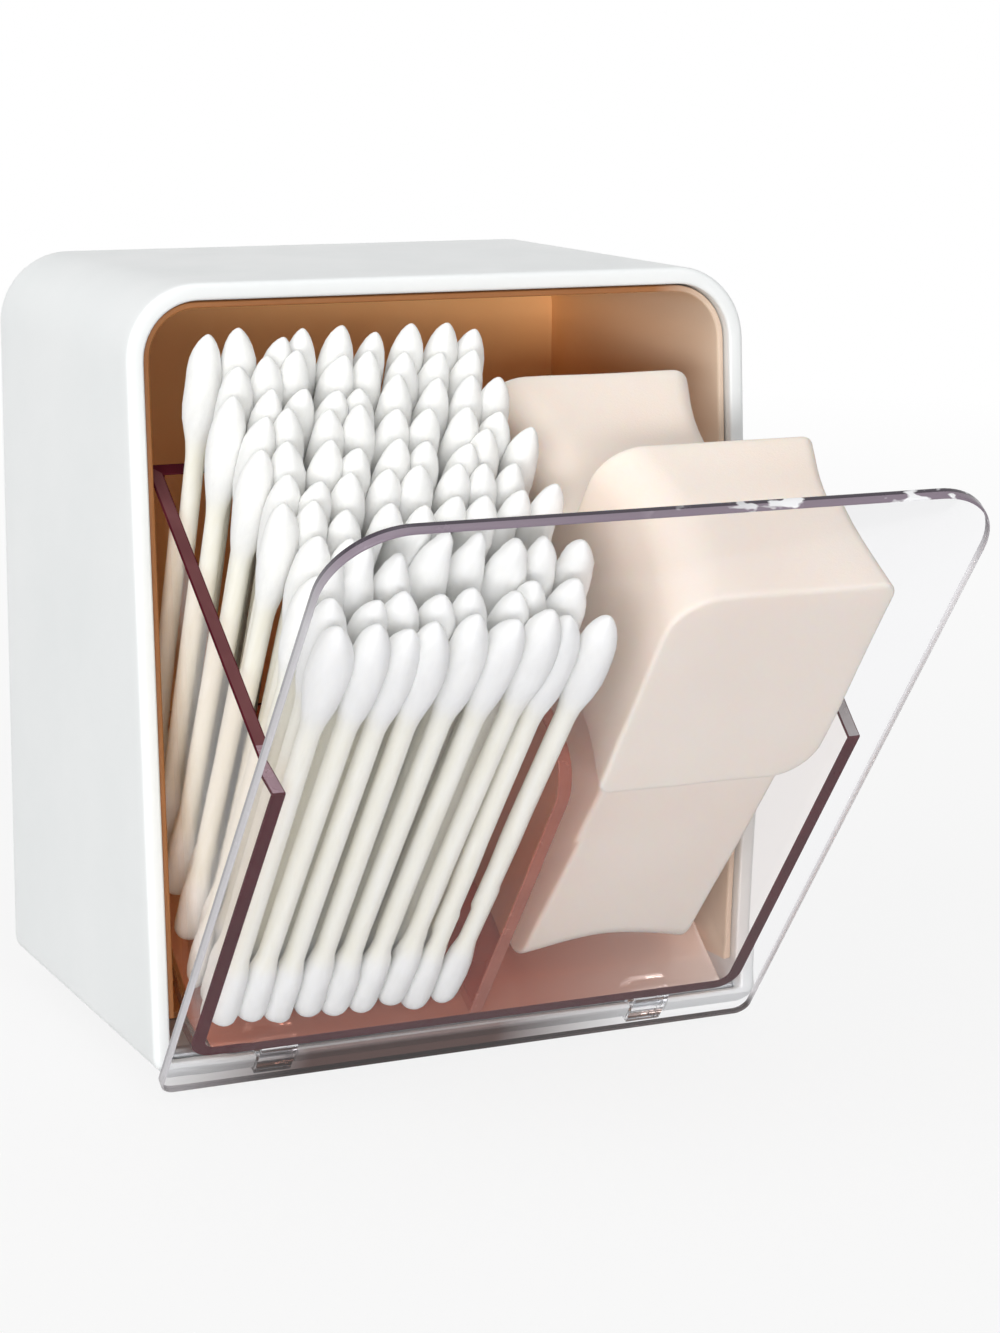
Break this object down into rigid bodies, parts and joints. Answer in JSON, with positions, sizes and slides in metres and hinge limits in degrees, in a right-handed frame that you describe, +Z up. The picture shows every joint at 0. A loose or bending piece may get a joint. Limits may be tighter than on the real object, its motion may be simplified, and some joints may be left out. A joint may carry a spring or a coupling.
{
  "type": "cotton swab dispenser",
  "caption": "Open-fronted white box with a clear front panel and tinted two-compartment bin that tilt out on a floor hinge, loaded with cotton swabs and makeup sponges.",
  "frame": {"origin": "centre of the back pad's wall side, at half the housing's height", "axes": "+X to the right seen from the front, +Y back into the wall, +Z up; the front faces -Y"},
  "size_m": [0.085, 0.1211, 0.1004],
  "materials": {
    "white_shell": "satin",
    "tan_liner": "satin",
    "foam_pad": "matte",
    "steel_rod": "satin",
    "clear_plastic": "polished",
    "tinted_plastic": "polished",
    "cotton": "matte",
    "sponge": "matte"
  },
  "bodies": {
    "housing": {"outer_shell": "white_shell", "inner_liner": "tan_liner", "wall_pad": "foam_pad", "hinge_rod": "steel_rod"},
    "tilt_bin": {"front_panel": "clear_plastic", "hinge_lug_left": "clear_plastic", "hinge_lug_right": "clear_plastic", "storage_bin": "tinted_plastic", "bin_divider": "tinted_plastic", "swab_row_01": "cotton", "swab_row_02": "cotton", "swab_row_03": "cotton", "swab_row_04": "cotton", "swab_row_05": "cotton", "swab_row_06": "cotton", "swab_row_07": "cotton", "swab_row_08": "cotton", "swab_row_09": "cotton", "swab_row_10": "cotton", "swab_row_11": "cotton", "sponge_front_lower": "sponge", "sponge_front_upper": "sponge", "sponge_rear_lower": "sponge", "sponge_rear_upper": "sponge"}
  },
  "joints": [
    {"name": "bin_tilt", "type": "hinge", "parent": "housing", "child": "tilt_bin", "pos_m": [0, -0.05927, -0.0466], "axis": [1, 0, 0], "range_deg": [-40.8, 0]}
  ]
}
